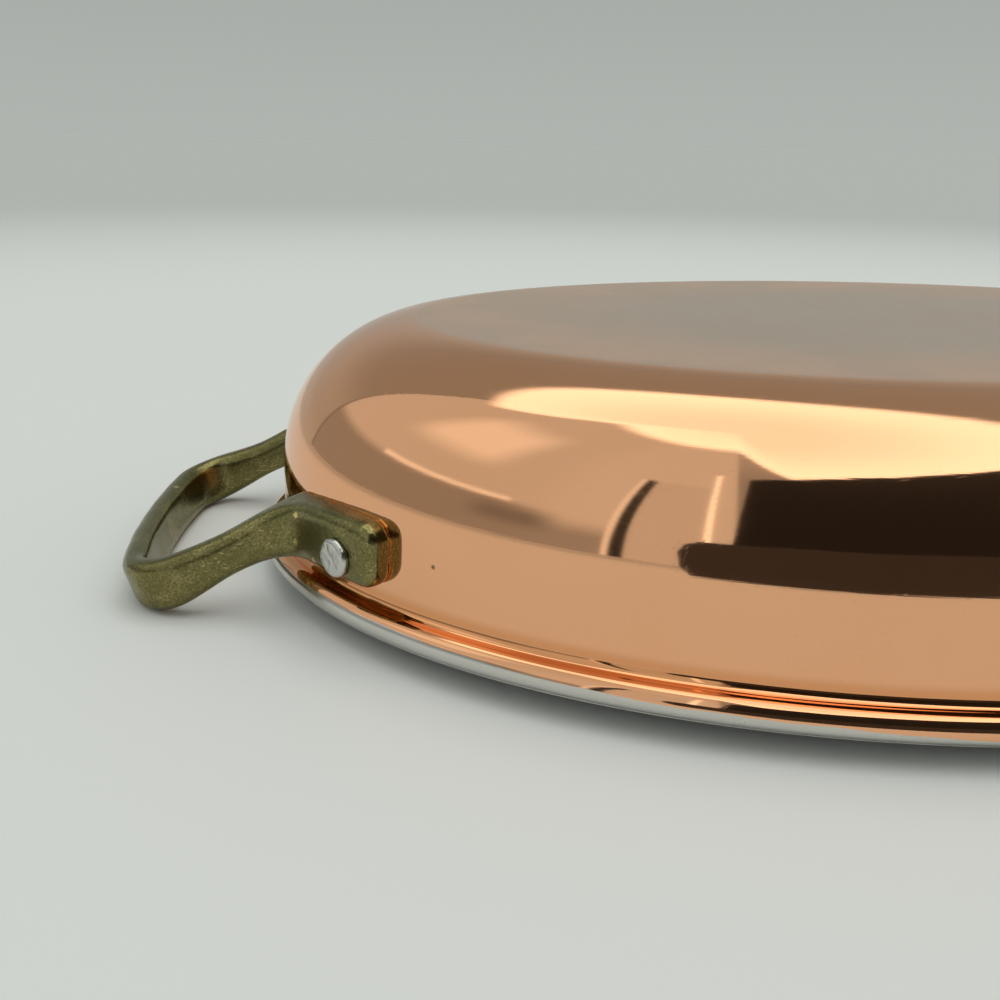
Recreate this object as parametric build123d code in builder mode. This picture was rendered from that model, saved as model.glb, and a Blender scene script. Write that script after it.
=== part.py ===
from build123d import *
import os
from math import cos, radians, sin, sqrt, tan

os.makedirs("parts", exist_ok=True)

# An oval copper gratin dish with two riveted loop handles, standing upside down on its handle loops.
# The floor is z = 0 and the origin is below the middle of the oval. +X runs along the long side, and
# +Z points to the flat base, which faces up. Lengths are in millimetres.

# Oval bowl
lip_length = 300.0
lip_width = 212.5
rim_height = 4.4            # floor to the underside of the lip, which the handle loops hold up
bowl_depth = 53.1           # underside of the lip to the outside of the base
base_radius = 33.6          # outside corner between the wall and the base
wall_draft = 1.5            # degrees that the wall leans in towards the base
copper_thickness = 1.6
lining_thickness = 0.5

# Lip
lip_reach = 4.6             # how far the lip stands out from the foot of the wall
lip_thickness = 5.6
lip_flat = 0.04             # left straight between the two roundings of the lip's edge
lip_root_radius = 1.7       # hollow corner between the lip and the wall
mouth_radius = 2.0          # inner edge of the copper at the mouth

# Handle loop
handle_reach = 30.5         # lip's outer edge to the top of the loop's tip
loop_width = 82.0           # over the two arms at the tip, before its corners are rounded
arm_splay = 6.0             # degrees by which each arm spreads away from the dish
loop_corner = 14.0          # outside corner between the tip and an arm, seen from above
tip_bow = 5.0               # how far the tip curves out between its corners
loop_lean = 18.0            # degrees that the bar leans out at the tip
bar_width = 6.0             # seen from above
tip_height = 9.2            # bar at the tip of the loop
tip_rise = 0.3              # slope of the upper side at the tip
foot_reach = 7.0            # tip of the loop to where its underside starts to rise
arm_middle_reach = 25.0     # tip of the loop to the middle of the arm
arm_middle_underside = 7.2
arm_middle_height = 9.9
bar_rounding = 2.5

# Ears, the flat ends of a handle that lie on the wall
ear_thickness = 5.0
ear_span = 114.8            # across both ears, measured on the wall
ear_height = 13.4
ear_underside = 14.2        # floor to the lower edge of an ear
ear_blend = 15.0            # length over which the arm grows to the height of the ear
ear_corner = 4.0
ear_root_radius = 12.0      # hollow corner between an arm and its ear

# Rivets
rivet_inset = 7.4           # free end of an ear to its rivet, measured on the wall
rivet_height = 19.2         # floor to the rivet's axis
shank_diameter = 5.0
shank_clearance = 0.1       # gap all round a shank in its hole
head_seat = 0.4             # depth to which a head is fitted to the curved face below it
outer_head_diameter = 8.0
outer_head_height = 1.5
inner_head_diameter = 10.0
inner_head_height = 1.3
head_rounding = 1.0

# Places that follow from the sizes above
half_length = lip_length / 2
half_width = lip_width / 2
lip_rounding = (lip_thickness - lip_flat) / 2
base_z = rim_height + bowl_depth
slope = tan(radians(wall_draft))
lip_top = rim_height + lip_thickness
lining_edge_z = rim_height + lining_thickness
tip_x = -(half_length + handle_reach)
loop_tip_x = tip_x + tip_height * tan(radians(loop_lean))
half_loop = loop_width / 2
arm_y = (handle_reach + lip_reach) * tan(radians(arm_splay)) - half_loop + bar_width / 2
lean = Vector(-sin(radians(loop_lean)), 0, cos(radians(loop_lean)))
arm_middle_x = tip_x + arm_middle_reach
arm_middle_top = arm_middle_underside + arm_middle_height
ear_top = ear_underside + ear_height
skin = copper_thickness + lining_thickness
drill_length = 2 * (ear_thickness + skin)
clear_of_ear = 3 * ear_thickness
half_span = ear_span / 2
rivet_y = half_span - rivet_inset


def wall_axes(height, outwards=0.0):
    """Half-axes of the outer wall's ellipse at a height, moved outwards."""
    inset = lip_reach + slope * (height - rim_height) - outwards
    return half_length - inset, half_width - inset


def wall_plane(y, height):
    """Plane that touches the left wall at y and height, with its z direction pointing out."""
    long_axis, short_axis = wall_axes(height)
    x = -long_axis * sqrt(1 - (y / short_axis) ** 2)
    outward = Vector(x / long_axis**2, y / short_axis**2, 0).normalized()
    return Plane(origin=(x, y, height), x_dir=(0, 0, 1), z_dir=outward)


def bowl(depth_in, bottom, top):
    """Solid bowl whose wall lies depth_in inside the outer wall, between two heights."""
    with BuildPart() as made:
        for height in (bottom, top):
            with BuildSketch(Plane.XY.offset(height)):
                Ellipse(*wall_axes(height, -depth_in))
        loft()
        fillet(made.faces().sort_by(Axis.Z)[-1].edges(), base_radius - depth_in)
    return made.part


def edges_at(builder, height):
    """Edges that lie flat at a height, shortest first."""
    found = builder.edges().filter_by_position(Axis.Z, height - lip_flat / 2, height + lip_flat / 2)
    return found.sort_by(SortBy.LENGTH)


def hollow(depth_in, edge_z, radius):
    """Space that a layer leaves inside and below it, with a rounded mouth at the height edge_z."""
    with BuildPart() as made:
        add(bowl(depth_in, 0, base_z - depth_in))
        with BuildSketch():
            Ellipse(half_length, half_width)
        extrude(amount=edge_z)
        fillet(edges_at(made, edge_z)[0], radius)
    return made.part


# The whole outside of the dish as one block, which the shell, the lining and the handles share
with BuildPart() as block:
    add(bowl(0, rim_height, base_z))
    with BuildSketch(Plane.XY.offset(rim_height)):
        Ellipse(half_length, half_width)
    extrude(amount=lip_thickness)
    fillet(edges_at(block, lip_top)[0], lip_root_radius)
    fillet(block.edges().sort_by(SortBy.LENGTH)[-2:], lip_rounding)

# Plan of the loop on the floor, with arms that run straight on into the dish
arm_end_x = loop_tip_x + half_length
arm_end_y = half_loop - half_length * tan(radians(arm_splay))
with BuildSketch() as loop_plan:
    with BuildLine():
        ThreePointArc(
            (loop_tip_x + tip_bow, half_loop),
            (loop_tip_x, 0),
            (loop_tip_x + tip_bow, -half_loop),
        )
        Polyline(
            (loop_tip_x + tip_bow, -half_loop),
            (arm_end_x, -arm_end_y),
            (arm_end_x, arm_end_y),
            (loop_tip_x + tip_bow, half_loop),
        )
    make_face()
    fillet(loop_plan.vertices().sort_by(Axis.X)[:2], loop_corner)
    offset(amount=-bar_width, mode=Mode.SUBTRACT)

# Plan of one ear, between the wall and its outer face, cut square to the wall at its free end
ear_end = wall_plane(-half_span, ear_underside)
end_inside = ear_end.origin - ear_end.z_dir * ear_thickness
end_outside = ear_end.origin + ear_end.z_dir * clear_of_ear
with BuildSketch() as ear_plan:
    Ellipse(*wall_axes(ear_underside, ear_thickness))
    with BuildLine():
        Polyline(
            (end_inside.X, end_inside.Y),
            (end_outside.X, end_outside.Y),
            (tip_x, arm_y),
            (end_inside.X, arm_y),
            close=True,
        )
    make_face(mode=Mode.INTERSECT)

# Side view of a handle, to which both plans are cut
ear_start_x = wall_plane(arm_y, ear_underside).origin.X - ear_thickness + ear_blend
with BuildSketch(Plane.XZ.offset(-ear_span)) as side_view:
    with BuildLine():
        Line((tip_x - bar_width, 0), (tip_x + foot_reach, 0))
        Spline(
            (tip_x + foot_reach, 0),
            (arm_middle_x, arm_middle_underside),
            (ear_start_x, ear_underside),
            tangents=[(1, 0), (1, 0)],
        )
        Polyline((ear_start_x, ear_underside), (0, ear_underside), (0, ear_top), (ear_start_x, ear_top))
        Spline(
            (ear_start_x, ear_top),
            (arm_middle_x, arm_middle_top),
            (tip_x, tip_height),
            tangents=[(-1, 0), (-1, -tip_rise)],
        )
        Polyline((tip_x, tip_height), (tip_x - bar_width, tip_height), (tip_x - bar_width, 0))
    make_face()

# Holes for the four shanks through the wall and the ears, as solids to cut away
with BuildPart() as shank_holes:
    for y in (-rivet_y, rivet_y):
        with BuildSketch(wall_plane(y, rivet_height)):
            Circle(shank_diameter / 2 + shank_clearance)
        extrude(amount=drill_length, both=True)
    mirror(about=Plane.YZ)


def is_upright(edge):
    """Edges that stand more or less straight up, at over 45 degrees to the floor."""
    return edge.bounding_box().size.Z > sin(radians(45)) * edge.length


def is_ear_root(edge):
    """Upright edges in the hollow corner where an arm meets its ear."""
    beside = abs(edge.center().Y) > -arm_y
    return is_upright(edge) and beside and arm_middle_x < edge.center().X < ear_start_x


def is_ear_corner(edge):
    """Straight edges across the free end of an ear."""
    return edge.geom_type == GeomType.LINE and abs(edge.center().Y) > half_span - ear_corner


def is_bar_edge(edge):
    """Curved edges along the bar and the ears outside the wall, apart from upright seams between faces."""
    outside = edge.center().X < ear_end.origin.X
    return edge.geom_type != GeomType.LINE and outside and not is_upright(edge)


# Handles
with BuildPart() as left_handle:
    extrude(loop_plan.sketch, amount=2 * ear_top, dir=lean)
    with BuildSketch():
        add(ear_plan.sketch)
        mirror(ear_plan.sketch, about=Plane.XZ)
    extrude(amount=2 * ear_top)
    extrude(side_view.sketch, amount=2 * ear_span, mode=Mode.INTERSECT)
    fillet(left_handle.edges().filter_by(is_ear_root), ear_root_radius)
    fillet(left_handle.edges().filter_by(Axis.Z, reverse=True).filter_by(is_ear_corner), ear_corner)
    fillet(left_handle.edges().filter_by(is_bar_edge), bar_rounding)
    add(block.part, mode=Mode.SUBTRACT)
    add(shank_holes.part, mode=Mode.SUBTRACT)
left_handle.part.label = "handle_left"
export_step(left_handle.part, "parts/handle_left.step")

with BuildPart() as right_handle:
    mirror(left_handle.part, about=Plane.YZ)
right_handle.part.label = "handle_right"
export_step(right_handle.part, "parts/handle_right.step")

# Copper shell with its lip
with BuildPart() as copper_shell:
    add(block.part)
    add(hollow(copper_thickness, lining_edge_z, mouth_radius), mode=Mode.SUBTRACT)
    add(shank_holes.part, mode=Mode.SUBTRACT)
copper_shell.part.label = "copper_shell"
export_step(copper_shell.part, "parts/copper_shell.step")

# Lining over the inside and the underside of the lip
with BuildPart() as lining:
    add(hollow(copper_thickness, lining_edge_z, mouth_radius))
    add(hollow(skin, rim_height, mouth_radius + lining_thickness), mode=Mode.SUBTRACT)
    add(block.part, mode=Mode.INTERSECT)
    add(shank_holes.part, mode=Mode.SUBTRACT)
lining.part.label = "lining"
export_step(lining.part, "parts/lining.step")


def rivet(y):
    """Rivet of the left handle, whose heads are fitted to the curved faces of the ear and the lining."""
    seat = wall_plane(y, rivet_height)
    with BuildPart() as outer_head:
        with BuildSketch(seat.offset(ear_thickness - head_seat)):
            Circle(outer_head_diameter / 2)
        extrude(amount=head_seat + outer_head_height)
        fillet(outer_head.edges().sort_by(Axis(seat.origin, seat.z_dir))[-1], head_rounding)
        with BuildSketch():
            Ellipse(*wall_axes(ear_underside, ear_thickness))
        extrude(amount=base_z, mode=Mode.SUBTRACT)
    with BuildPart() as inner_head:
        with BuildSketch(seat.offset(head_seat - skin)):
            Circle(inner_head_diameter / 2)
        extrude(amount=-head_seat - inner_head_height)
        fillet(inner_head.edges().sort_by(Axis(seat.origin, seat.z_dir))[0], head_rounding)
        add(bowl(skin, 0, base_z - skin), mode=Mode.INTERSECT)
    with BuildPart() as whole:
        with BuildSketch(seat.offset(-skin - head_seat)):
            Circle(shank_diameter / 2)
        extrude(amount=skin + ear_thickness + 2 * head_seat)
        add([outer_head.part, inner_head.part])
    return whole.part


# Rivets, two to each handle
with BuildPart() as left_front:
    add(rivet(-rivet_y))
left_front.part.label = "rivet_left_front"
export_step(left_front.part, "parts/rivet_left_front.step")

with BuildPart() as left_back:
    add(rivet(rivet_y))
left_back.part.label = "rivet_left_back"
export_step(left_back.part, "parts/rivet_left_back.step")

with BuildPart() as right_front:
    mirror(left_front.part, about=Plane.YZ)
right_front.part.label = "rivet_right_front"
export_step(right_front.part, "parts/rivet_right_front.step")

with BuildPart() as right_back:
    mirror(left_back.part, about=Plane.YZ)
right_back.part.label = "rivet_right_back"
export_step(right_back.part, "parts/rivet_right_back.step")
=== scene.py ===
import math

import bpy
from mathutils import Matrix, Vector, noise


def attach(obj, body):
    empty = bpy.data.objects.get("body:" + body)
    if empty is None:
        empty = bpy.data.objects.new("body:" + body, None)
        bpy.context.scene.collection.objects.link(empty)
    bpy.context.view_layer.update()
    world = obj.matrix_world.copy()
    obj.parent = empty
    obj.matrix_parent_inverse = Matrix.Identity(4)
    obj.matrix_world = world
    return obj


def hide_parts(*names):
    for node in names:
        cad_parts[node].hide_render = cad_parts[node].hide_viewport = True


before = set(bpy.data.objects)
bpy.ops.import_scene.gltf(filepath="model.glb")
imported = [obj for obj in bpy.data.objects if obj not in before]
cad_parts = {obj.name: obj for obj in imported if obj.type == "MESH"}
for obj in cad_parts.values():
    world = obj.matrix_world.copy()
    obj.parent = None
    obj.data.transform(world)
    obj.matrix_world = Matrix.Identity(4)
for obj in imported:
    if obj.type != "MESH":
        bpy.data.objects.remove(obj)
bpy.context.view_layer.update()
MM = 0.001

# Sizes of the dish in millimetres, as in the part's source
HALF_LENGTH = 150.0
HALF_WIDTH = 106.25
RIM = 4.4
DEPTH = 53.1
CORNER = 33.6
SLOPE = math.tan(math.radians(1.5))
LIP_REACH = 4.6
LIP_THICKNESS = 5.6
LIP_ROUND = 2.78
LIP_ROOT = 1.7
COPPER = 1.6
LINING = 0.5
BASE = RIM + DEPTH
MOUTH_RADIUS = 2.0          # inner edge of the copper at the mouth
SEAM = 0.02                 # gap that keeps the copper's and the lining's meshes apart
RING_POINTS = 720

# Castings: voxel size, rounds of smoothing, height of the unevenness and size of its swells; lengths in metres
HANDLE_CAST = (0.45 * MM, 6, 0.15 * MM, 9 * MM)
RIVET_CAST = (0.2 * MM, 4, 0.06 * MM, 2.4 * MM)

# Dark specks on the copper, as (place in mm, radius in mm)
SPECKS = (
    ((-111.7, -64.9, 21.6), 0.55),
    ((-26.5, -100.4, 18.5), 0.6),
    ((-24.8, -100.4, 18.9), 0.35),
    ((-64.0, -92.0, 30.5), 0.3),
    ((60.5, -90.0, 24.0), 0.5),
    ((30.0, 98.0, 22.0), 0.6),
)

# Floor, in metres, and the paper on it, with painted shade that makes it darker between two distances in mm
FLOOR_SIZE = 60.0
PAPER_NEAR = (0.90, 0.90, 0.895, 1)
PAPER_FAR_SHADE = (0.625, 0.63, 0.625, 1)
PAPER_NEAR_END = 450.0
PAPER_FAR_START = 1500.0

# Dark cards in front of the dish, which only the polished metal shows, as corners (x, z) in metres
CARD_Y = -0.385
BLACK_CARD = [(-0.162, 0.13), (0.60, 0.13), (0.60, 1.10), (0.30, 0.80), (0.10, 0.64), (-0.04, 0.57),
              (-0.14, 0.54)]
GREY_CARD = [(-0.205, 0.0), (0.60, 0.0), (0.60, 0.13), (-0.20, 0.13), (-0.218, 0.115), (-0.225, 0.085),
             (-0.22, 0.03)]

# Lighter and darker parts of the walls, in this order: turn from and to, rise from and to, all in degrees,
# then the level of light and the softness of the edge in degrees
WALL_PARTS = (
    (66.0, 122.0, 20.0, 62.0, 0.95, 6.0),
    (-128.0, -112.0, 8.0, 17.0, 0.22, 4.0),
    (-106.0, -76.0, 38.0, 60.0, 0.95, 6.0),
    (-119.0, -80.0, 20.3, 22.6, 1.0, 0.9),
    (-158.0, -156.8, -5.0, 59.0, 1.5, 0.3),
    (-156.5, -143.5, -5.0, 50.0, 0.60, 0.5),
    (-143.4, -141.0, -5.0, 50.0, 0.03, 0.3),
    (-140.7, -139.6, -5.0, 50.0, 0.95, 0.3),
    (-51.0, -50.0, -5.0, 62.0, 0.22, 0.3),
)

# Tint of the room's light
ROOM_TINT = (0.95, 1.0, 0.945)

# Camera: place in metres, yaw, pitch and roll in degrees, focal length in mm
CAMERA_PLACE = (-0.116626, -0.239698, 0.0962)
CAMERA_TURN = (5.648, 19.295, 1.167)
CAMERA_LENS = 36.87


# Meshes

def arc(centre, radius, start, end, steps):
    """Points on an arc of the profile; degrees from the outward direction, upwards positive."""
    points = []
    for i in range(steps + 1):
        a = math.radians(start + (end - start) * i / steps)
        points.append((centre[0] - radius * math.cos(a), centre[1] + radius * math.sin(a)))
    return points


def line(start, end, steps):
    return [(start[0] + (end[0] - start[0]) * i / steps, start[1] + (end[1] - start[1]) * i / steps)
            for i in range(1, steps)]


def wall_inset(z, depth_in):
    """Distance from the lip's outer edge to the wall's surface, depth_in inside the outer wall."""
    return LIP_REACH + depth_in + SLOPE * (z - RIM)


def corner_arc(depth_in, steps):
    """Rounded corner between the wall and the base, from the wall up to the base."""
    radius = CORNER - depth_in
    lean = math.degrees(math.atan(SLOPE))
    top = BASE - depth_in
    centre_z = top - radius
    tangent_z = centre_z + radius * math.sin(math.radians(lean))
    centre_d = wall_inset(tangent_z, depth_in) + radius * math.cos(math.radians(lean))
    return arc((centre_d, centre_z), radius, lean, 90.0, steps)


def rings_to_mesh(name, profile):
    """Closed mesh from ellipses. A profile point is (inset, z) in mm, with a shrink on the flat base."""
    verts, faces = [], []
    n = RING_POINTS
    for p in profile:
        d, z = p[0], p[1]
        k = p[2] if len(p) > 2 else 1.0
        a, b = (HALF_LENGTH - d) * k, (HALF_WIDTH - d) * k
        for i in range(n):
            t = 2 * math.pi * i / n
            verts.append((a * math.cos(t) * MM, b * math.sin(t) * MM, z * MM))
    last = len(profile) - 1
    for r in range(last):
        for i in range(n):
            j = (i + 1) % n
            faces.append((r * n + i, r * n + j, (r + 1) * n + j, (r + 1) * n + i))
    faces.append(tuple(reversed(range(n))))
    faces.append(tuple(range(last * n, last * n + n)))
    mesh = bpy.data.meshes.new(name)
    mesh.from_pydata(verts, [], faces)
    mesh.polygons.foreach_set("use_smooth", [True] * len(mesh.polygons))
    mesh.update()
    obj = bpy.data.objects.new(name, mesh)
    bpy.context.scene.collection.objects.link(obj)
    return obj


def flat_cap(d, z, inward):
    """Rings that close a flat base, from its edge to the middle or back."""
    steps = [1.0, 0.995, 0.98, 0.95, 0.9, 0.8, 0.65, 0.5, 0.35, 0.2, 0.1, 0.03, 0.002]
    rings = [(d, z, k) for k in steps]
    return rings if inward else rings[::-1]


def copper_profile():
    """Outside from the base down to the lip, then the inside back up."""
    lip_top = RIM + LIP_THICKNESS
    bead_z = RIM + LIP_THICKNESS - LIP_ROUND
    outer_corner = corner_arc(0.0, 60)
    points = flat_cap(outer_corner[-1][0], BASE, False)
    points += outer_corner[-2:0:-1]
    root_z = lip_top + LIP_ROOT
    points.append(outer_corner[0])
    points += line(outer_corner[0], (wall_inset(root_z, 0.0), root_z), 24)
    # hollow corner above the lip, then the bead and its underside
    centre = (wall_inset(root_z, 0.0) - LIP_ROOT, root_z)
    points += [(centre[0] + LIP_ROOT * math.cos(math.radians(a)),
                centre[1] - LIP_ROOT * math.sin(math.radians(a))) for a in range(0, 91, 9)]
    points += arc((LIP_ROUND, bead_z), LIP_ROUND, 90.0, 0.0, 20)
    low_z = RIM + LIP_ROUND
    points += arc((LIP_ROUND, low_z), LIP_ROUND, 0.0, -55.0, 12)
    points.append((1.35, RIM + LINING + SEAM))
    # mouth and inner wall, under the lining
    inner_corner = corner_arc(COPPER, 40)
    points += [(wall_inset(RIM, COPPER) - MOUTH_RADIUS * (1 - math.sin(math.radians(a))),
                RIM + LINING + MOUTH_RADIUS * (1 - math.cos(math.radians(a)))) for a in range(0, 91, 15)]
    points += line((wall_inset(RIM, COPPER), RIM + LINING + MOUTH_RADIUS), inner_corner[0], 12)
    points += inner_corner
    points += flat_cap(inner_corner[-1][0], BASE - COPPER, True)
    return points


def lining_profile():
    """Side against the copper from the base down to the lip, then the inside back up."""
    skin = COPPER + LINING
    outer_corner = corner_arc(COPPER + SEAM, 40)
    inner_corner = corner_arc(skin, 40)
    points = flat_cap(outer_corner[-1][0], BASE - COPPER - SEAM, False)
    points += outer_corner[-2::-1]
    points += line(outer_corner[0], (wall_inset(RIM, COPPER), RIM + LINING + MOUTH_RADIUS), 12)
    points += [(wall_inset(RIM, COPPER) - MOUTH_RADIUS * (1 - math.cos(math.radians(a))),
                RIM + LINING - SEAM + MOUTH_RADIUS * (1 - math.sin(math.radians(a))))
               for a in range(0, 91, 15)]
    points += [(1.2, RIM + LINING - SEAM), (1.25, RIM + 0.3), (1.7, RIM + 0.1), (2.4, RIM)]
    mouth = MOUTH_RADIUS + LINING
    points += [(wall_inset(RIM, skin) - mouth * (1 - math.sin(math.radians(a))),
                RIM + mouth * (1 - math.cos(math.radians(a)))) for a in range(0, 91, 10)]
    points += line((wall_inset(RIM, skin), RIM + mouth), inner_corner[0], 24)
    points += inner_corner
    points += flat_cap(inner_corner[-1][0], BASE - skin, True)
    return points


def cast_copy(node, name, voxel, smoothing, wobble, wobble_size):
    """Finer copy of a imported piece: remeshed, its edges softened, and made slightly uneven like a casting."""
    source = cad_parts[node]
    obj = source.copy()
    obj.data = source.data.copy()
    obj.name = name
    for key in list(obj.keys()):
        del obj[key]
    bpy.context.scene.collection.objects.link(obj)
    remesh = obj.modifiers.new("remesh", "REMESH")
    remesh.mode = "VOXEL"
    remesh.voxel_size = voxel
    smooth = obj.modifiers.new("smooth", "SMOOTH")
    smooth.factor = 0.5
    smooth.iterations = smoothing
    shaped = bpy.data.meshes.new_from_object(obj.evaluated_get(bpy.context.evaluated_depsgraph_get()))
    obj.modifiers.clear()
    obj.data = shaped
    shaped.materials.clear()
    if wobble:
        normals = [v.normal.copy() for v in shaped.vertices]
        for v, n in zip(shaped.vertices, normals):
            v.co += n * wobble * noise.noise(v.co / wobble_size)
            v.co.z = max(v.co.z, 0.0)    # the foot is filed flat where it stands
    shaped.polygons.foreach_set("use_smooth", [True] * len(shaped.polygons))
    shaped.update()
    return obj


# Materials

class Nodes:
    """Short calls for building a node tree."""

    def __init__(self, tree):
        self.tree = tree

    def node(self, kind, **settings):
        made = self.tree.nodes.new(kind)
        for key, value in settings.items():
            setattr(made, key, value)
        return made

    def set(self, socket, value):
        if isinstance(value, bpy.types.NodeSocket):
            self.tree.links.new(value, socket)
        else:
            socket.default_value = value

    def math(self, operation, a, b=0.0, c=0.0):
        made = self.node("ShaderNodeMath", operation=operation)
        for socket, value in zip(made.inputs, (a, b, c)):
            self.set(socket, value)
        return made.outputs[0]

    def smooth(self, value, low, high):
        """0 below low, 1 above high, with a soft step between them."""
        made = self.node("ShaderNodeMapRange", interpolation_type="SMOOTHSTEP")
        self.set(made.inputs["Value"], value)
        made.inputs["From Min"].default_value = low
        made.inputs["From Max"].default_value = high
        return made.outputs["Result"]

    def window(self, value, low, high, soft):
        """1 between low and high with soft edges, 0 outside."""
        return self.math("MULTIPLY", self.smooth(value, low - soft, low + soft),
                         self.math("SUBTRACT", 1.0, self.smooth(value, high - soft, high + soft)))

    def mix(self, factor, a, b):
        """Number between a and b."""
        made = self.node("ShaderNodeMix", data_type="FLOAT")
        for socket, value in zip(made.inputs[:1] + made.inputs[2:4], (factor, a, b)):
            self.set(socket, value)
        return made.outputs[0]

    def colours(self, factor, a, b):
        made = self.node("ShaderNodeMix", data_type="RGBA")
        for socket, value in zip(made.inputs[:1] + made.inputs[6:8], (factor, a, b)):
            self.set(socket, value)
        return made.outputs[2]

    def place(self):
        """Object coordinates in millimetres."""
        scaled = self.node("ShaderNodeVectorMath", operation="SCALE")
        self.tree.links.new(self.node("ShaderNodeTexCoord").outputs["Object"], scaled.inputs[0])
        scaled.inputs["Scale"].default_value = 1000.0
        return scaled.outputs[0]

    def split(self, vector):
        made = self.node("ShaderNodeSeparateXYZ")
        self.tree.links.new(vector, made.inputs[0])
        return made.outputs

    def mapped(self, vector, turn, stretch, shift=(0, 0, 0)):
        made = self.node("ShaderNodeMapping")
        self.tree.links.new(vector, made.inputs["Vector"])
        made.inputs["Location"].default_value = shift
        made.inputs["Rotation"].default_value = tuple(math.radians(v) for v in turn)
        made.inputs["Scale"].default_value = stretch
        return made.outputs[0]

    def noise(self, vector, scale, detail=2.0, rough=0.5):
        made = self.node("ShaderNodeTexNoise")
        self.tree.links.new(vector, made.inputs["Vector"])
        made.inputs["Scale"].default_value = scale
        made.inputs["Detail"].default_value = detail
        made.inputs["Roughness"].default_value = rough
        return made.outputs[0]

    def scratches(self, vector, turn, shift, cover):
        """Thin broken lines, as a mask."""
        lines = self.noise(self.mapped(vector, turn, (0.06, 5.5, 1.3), shift), 1.0, 1.0)
        gaps = self.noise(self.mapped(vector, (0, 0, 0), (1, 1, 1), shift), 0.045, 1.0)
        return self.math("MULTIPLY", self.smooth(lines, cover, cover + 0.035), self.smooth(gaps, 0.46, 0.60))

    def spot(self, vector, centre, radius):
        """Small mark at a point of the surface, as a mask."""
        away = self.node("ShaderNodeVectorMath", operation="DISTANCE")
        self.tree.links.new(vector, away.inputs[0])
        away.inputs[1].default_value = centre
        return self.math("SUBTRACT", 1.0, self.smooth(away.outputs["Value"], radius * 0.6, radius * 1.3))

    def bump(self, height, depth, normal=None):
        made = self.node("ShaderNodeBump")
        made.inputs["Strength"].default_value = 1.0
        made.inputs["Distance"].default_value = depth * MM
        self.tree.links.new(height, made.inputs["Height"])
        if normal:
            self.tree.links.new(normal, made.inputs["Normal"])
        return made.outputs[0]


def new_material(name, metallic):
    material = bpy.data.materials.new(name)
    material.use_nodes = True
    tree = material.node_tree
    tree.nodes.clear()
    out = tree.nodes.new("ShaderNodeOutputMaterial")
    shader = tree.nodes.new("ShaderNodeBsdfPrincipled")
    shader.inputs["Metallic"].default_value = metallic
    tree.links.new(shader.outputs[0], out.inputs["Surface"])
    return material, Nodes(tree), shader.inputs


def copper_material():
    material, n, shader = new_material("copper", 1.0)
    p = n.place()
    x, y, z = n.split(p)
    flat = n.smooth(z, 57.36, 57.49)
    cloudy = n.noise(p, 0.045, 3.0)
    grain = n.noise(n.mapped(p, (0, 0, 20), (0.5, 0.05, 3.0)), 1.0, 3.0)
    brushed = n.noise(n.mapped(p, (0, 0, 0), (0.06, 0.06, 5.0)), 1.0, 2.0)
    fine = n.math("MAXIMUM", n.scratches(p, (12, 24, 35), (0, 0, 0), 0.68),
                  n.math("MAXIMUM", n.scratches(p, (-38, 10, -50), (40, 0, 9), 0.69),
                         n.scratches(p, (63, -20, 5), (0, 70, 31), 0.70)))

    # polished copper, with painted shade and a painted reflection of copper in copper: darker and redder in the
    # hollow corner above the lip
    corner = n.window(z, 9.6, 13.0, 1.2)
    polished = n.colours(cloudy, (0.97, 0.505, 0.285, 1), (0.93, 0.465, 0.25, 1))
    polished = n.colours(n.math("MULTIPLY", corner, 0.7), polished, (0.80, 0.33, 0.13, 1))
    from_middle = n.node("ShaderNodeVectorMath", operation="LENGTH")
    n.tree.links.new(n.mapped(p, (0, 0, 0), (1 / 113, 1 / 70, 0)), from_middle.inputs[0])
    outer_part = n.smooth(from_middle.outputs["Value"], 0.42, 0.95)
    dull = n.colours(outer_part, (0.77, 0.61, 0.49, 1), (0.98, 0.64, 0.455, 1))
    dull = n.colours(n.math("MULTIPLY", n.smooth(cloudy, 0.35, 0.65), 0.5), dull, (0.76, 0.58, 0.45, 1))
    colour = n.colours(flat, polished, dull)
    colour = n.colours(n.math("MULTIPLY", fine, 0.18), colour, (0.62, 0.40, 0.26, 1))
    for centre, radius in SPECKS:
        colour = n.colours(n.math("MULTIPLY", n.spot(p, centre, radius), 0.85), colour, (0.12, 0.06, 0.03, 1))

    # where the lining was wiped over the edge of the lip it leaves a silvery band with an uneven border
    end = n.math("ABSOLUTE", x)
    border = n.math("MULTIPLY_ADD", n.smooth(end, 0.0, 60.0), 1.5, 6.1)
    border = n.math("MULTIPLY_ADD", n.smooth(end, 70.0, 125.0), 1.1, border)
    border = n.math("MULTIPLY_ADD", n.noise(p, 0.12, 2.0), 0.8, n.math("SUBTRACT", border, 0.4))
    silver = n.math("GREATER_THAN", n.math("SUBTRACT", border, z), 0.0)
    pale = n.colours(brushed, (0.74, 0.72, 0.68, 1), (0.60, 0.58, 0.54, 1))
    colour = n.colours(silver, colour, pale)
    n.set(shader["Base Color"], colour)

    rough = n.mix(brushed, 0.03, 0.075)
    rough = n.mix(flat, rough, n.mix(grain, 0.24, 0.36))
    rough = n.mix(silver, rough, 0.24)
    rough = n.math("MULTIPLY_ADD", fine, 0.05, rough)
    n.set(shader["Roughness"], rough)

    swell = n.bump(n.noise(p, 0.022, 1.0), 0.14)
    n.set(shader["Normal"], n.bump(fine, 0.0006, n.bump(brushed, 0.002, swell)))
    return material


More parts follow.
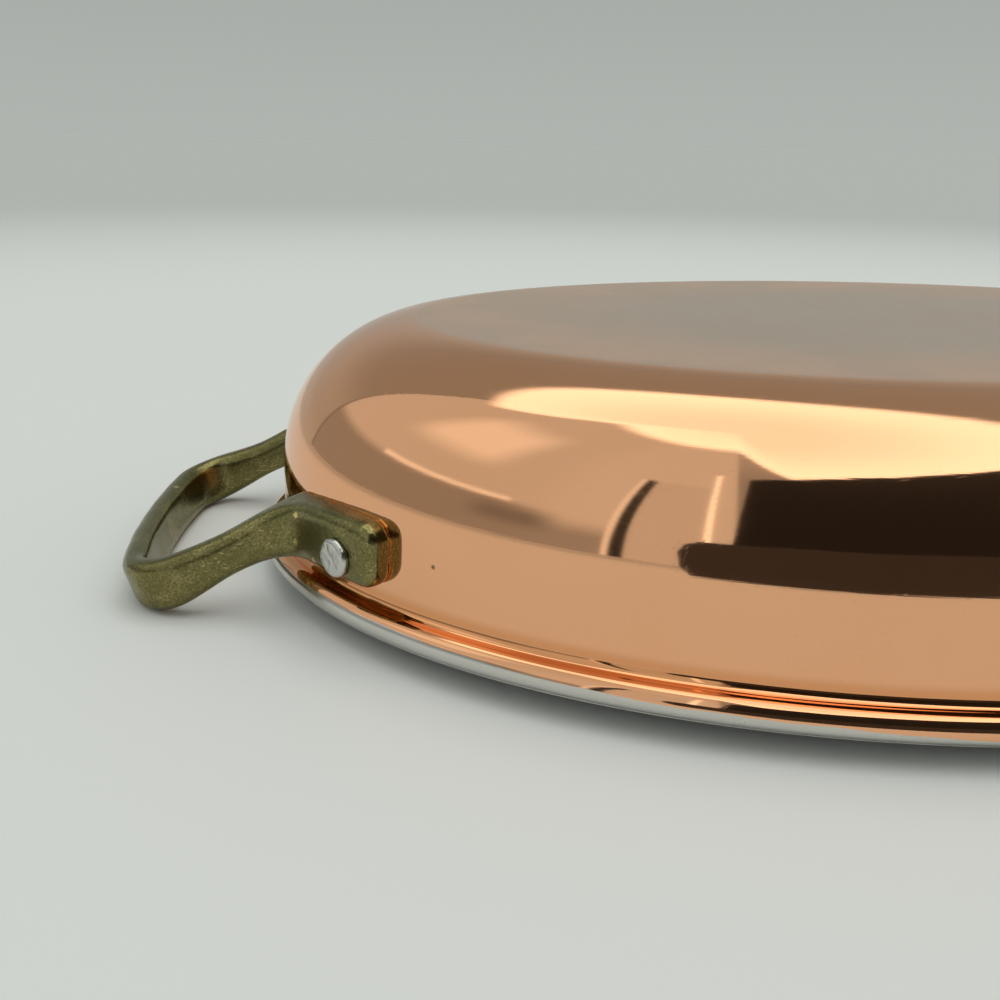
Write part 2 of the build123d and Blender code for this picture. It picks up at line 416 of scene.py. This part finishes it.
def tin_material():
    material, n, shader = new_material("lining", 1.0)
    p = n.place()
    wiped = n.noise(n.mapped(p, (0, 0, 35), (0.5, 0.04, 0.5)), 1.0, 3.0)
    cloudy = n.noise(p, 0.05, 3.0)
    n.set(shader["Base Color"], n.colours(cloudy, (0.70, 0.69, 0.66, 1), (0.52, 0.51, 0.48, 1)))
    n.set(shader["Roughness"], n.mix(wiped, 0.24, 0.46))
    n.set(shader["Normal"], n.bump(wiped, 0.03, n.bump(cloudy, 0.12)))
    return material


def brass_material():
    """Cast brass with a dark olive skin; its edges are painted gold, partly as rubbed wear and partly as a
    painted highlight.
    """
    material, n, shader = new_material("brass", 1.0)
    p = n.place()
    geometry = n.node("ShaderNodeNewGeometry")
    specks = n.noise(p, 2.2, 4.0, 0.65)
    patches = n.noise(p, 0.13, 3.0)
    marks = n.math("MAXIMUM", n.scratches(p, (12, 24, 35), (0, 0, 0), 0.66),
                   n.scratches(p, (-38, 10, -50), (9, 0, 9), 0.66))
    pointed = n.math("MULTIPLY_ADD", n.math("SUBTRACT", specks, 0.5), 0.02, geometry.outputs["Pointiness"])
    # painted highlight: edges found by pointiness get a gold colour and lower roughness, partly rubbed wear and
    # partly a painted highlight
    edge = n.smooth(pointed, 0.508, 0.555)
    rubbed = n.smooth(n.math("MULTIPLY_ADD", patches, 0.6, n.math("MULTIPLY", specks, 0.5)), 0.54, 0.72)
    skin = n.colours(n.smooth(specks, 0.30, 0.70), (0.125, 0.117, 0.044, 1), (0.235, 0.205, 0.082, 1))
    colour = n.colours(n.math("MULTIPLY", rubbed, 0.6), skin, (0.40, 0.33, 0.14, 1))
    # gold on the edges: partly rubbed wear, partly a painted highlight
    colour = n.colours(n.math("MULTIPLY", edge, 0.8), colour, (0.78, 0.60, 0.26, 1))
    colour = n.colours(n.math("MULTIPLY", marks, 0.5), colour, (0.55, 0.46, 0.22, 1))
    n.set(shader["Base Color"], colour)
    n.set(shader["Roughness"], n.mix(edge, n.mix(patches, 0.20, 0.32), 0.18))
    n.set(shader["Normal"], n.bump(specks, 0.010, n.bump(patches, 0.22)))
    return material


def rivet_material():
    material, n, shader = new_material("rivet", 1.0)
    p = n.place()
    dents = n.noise(p, 0.55, 1.0)
    streaks = n.noise(n.mapped(p, (30, 10, 50), (3.0, 0.3, 0.6)), 1.0, 2.0)
    n.set(shader["Base Color"], n.colours(streaks, (0.74, 0.73, 0.70, 1), (0.50, 0.49, 0.46, 1)))
    n.set(shader["Roughness"], n.mix(streaks, 0.20, 0.30))
    n.set(shader["Normal"], n.bump(streaks, 0.010, n.bump(dents, 0.22)))
    return material


def paper_material():
    """Pale paper with painted shade that makes it darker away from the dish."""
    material, n, shader = new_material("paper", 0.0)
    p = n.place()
    away = n.node("ShaderNodeVectorMath", operation="LENGTH")
    n.tree.links.new(p, away.inputs[0])
    distance = away.outputs["Value"]
    # painted shade: the paper's colour darkens with distance from the dish
    colour = n.colours(n.smooth(distance, PAPER_NEAR_END, PAPER_FAR_START), PAPER_NEAR, PAPER_FAR_SHADE)
    n.set(shader["Base Color"], colour)
    shader["Roughness"].default_value = 0.8
    shader["Specular IOR Level"].default_value = 0.2
    return material


copper = copper_material()
tin = tin_material()
brass = brass_material()
pale = rivet_material()
paper = paper_material()


# Pieces

shell = rings_to_mesh("copper_body", copper_profile())
shell.data.materials.append(copper)
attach(shell, "root")
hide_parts("copper_shell")

inner = rings_to_mesh("tin_layer", lining_profile())
inner.data.materials.append(tin)
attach(inner, "root")
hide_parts("lining")

for side in ("left", "right"):
    handle = cast_copy("handle_" + side, "brass_" + side, *HANDLE_CAST)
    handle.data.materials.append(brass)
    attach(handle, "root")
    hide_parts("handle_" + side)
    for end in ("front", "back"):
        node = "rivet_" + side + "_" + end
        piece = cast_copy(node, "pin_" + side + "_" + end, *RIVET_CAST)
        piece.data.materials.append(pale)
        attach(piece, "root")
        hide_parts(node)


# Floor, room and light

def sheet(name, corners, material):
    """Flat piece of the stage from its corners."""
    mesh = bpy.data.meshes.new(name)
    mesh.from_pydata(corners, [], [tuple(range(len(corners)))])
    mesh.materials.append(material)
    obj = bpy.data.objects.new(name, mesh)
    bpy.context.scene.collection.objects.link(obj)
    return obj


sheet("floor", [(x * FLOOR_SIZE, y * FLOOR_SIZE, 0) for x, y in ((-1, -1), (1, -1), (1, 1), (-1, 1))], paper)


def card(name, corners, shade):
    """Upright card at a distance y = CARD_Y, from its corners (x, z)."""
    material, n, shader = new_material(name, 0.0)
    shader["Base Color"].default_value = (shade * 1.1, shade, shade * 0.95, 1)
    shader["Roughness"].default_value = 0.9
    made = sheet(name, [(x, CARD_Y, z) for x, z in corners], material)
    made.visible_camera = False
    made.visible_diffuse = False
    made.visible_shadow = False


card("black_card", BLACK_CARD, 0.012)
card("grey_card", GREY_CARD, 0.055)


def room():
    """Pale walls with softly lit and darker parts, and bright light from above."""
    world = bpy.data.worlds.new("room")
    bpy.context.scene.world = world
    world.use_nodes = True
    n = Nodes(world.node_tree)
    x, y, z = n.split(n.node("ShaderNodeTexCoord").outputs["Generated"])
    degrees = 180 / math.pi
    turn = n.math("MULTIPLY", n.math("ARCTAN2", x, y), degrees)
    rise = n.math("MULTIPLY", n.math("ARCSINE", z), degrees)

    def patch(level, turn_low, turn_high, rise_low, rise_high, value, soft):
        """Lighter or darker part of the walls."""
        across = n.window(turn, turn_low, turn_high, soft)
        mask = n.math("MULTIPLY", across, n.window(rise, rise_low, rise_high, soft))
        return n.mix(mask, level, value)

    behind = n.mix(n.smooth(rise, 0.0, 9.0), 0.455, 0.41)
    behind = n.mix(n.window(rise, 24.0, 62.0, 9.0), behind, 0.31)
    left = n.mix(n.smooth(rise, 17.5, 23.0), 0.32, 0.62)
    left = n.mix(n.smooth(turn, -135.0, -115.0), n.mix(n.smooth(rise, 8.0, 20.0), 0.34, 0.66), left)
    level = n.mix(n.window(turn, -162.0, -50.0, 0.4), behind, left)
    level = n.mix(n.window(turn, 62.0, 197.0, 8.0), level, 0.26)
    for part in WALL_PARTS:
        level = patch(level, *part)
    light_from = n.mix(n.window(turn, -170.0, -66.0, 9.0), 58.0, 76.0)
    above = n.math("SUBTRACT", rise, light_from)
    level = n.mix(n.smooth(above, -1.5, 2.5), level, n.mix(n.smooth(above, 0.0, 24.0), 1.75, 1.35))

    colour = n.node("ShaderNodeCombineColor")
    for socket, tint in zip(colour.inputs, ROOM_TINT):
        n.set(socket, n.math("MULTIPLY", level, tint))
    background = world.node_tree.nodes["Background"]
    n.set(background.inputs["Color"], colour.outputs[0])
    background.inputs["Strength"].default_value = 1.0


room()


# Camera

def camera():
    """Camera at the viewing angle of the photograph."""
    yaw, pitch, roll = (math.radians(angle) for angle in CAMERA_TURN)
    forward = Vector((math.sin(yaw) * math.cos(pitch), math.cos(yaw) * math.cos(pitch), -math.sin(pitch)))
    right = Vector((math.cos(yaw), -math.sin(yaw), 0))
    up = right.cross(forward)
    rolled_right = right * math.cos(roll) + up * math.sin(roll)
    rolled_up = up * math.cos(roll) - right * math.sin(roll)
    turn = Matrix((rolled_right, rolled_up, -forward)).transposed()
    data = bpy.data.cameras.new("camera")
    data.lens = CAMERA_LENS
    data.sensor_width = 36.0
    data.clip_start = 0.01
    obj = bpy.data.objects.new("camera", data)
    obj.matrix_world = Matrix.Translation(CAMERA_PLACE) @ turn.to_4x4()
    bpy.context.scene.collection.objects.link(obj)
    bpy.context.scene.camera = obj


camera()
bpy.context.scene.view_settings.view_transform = "Standard"
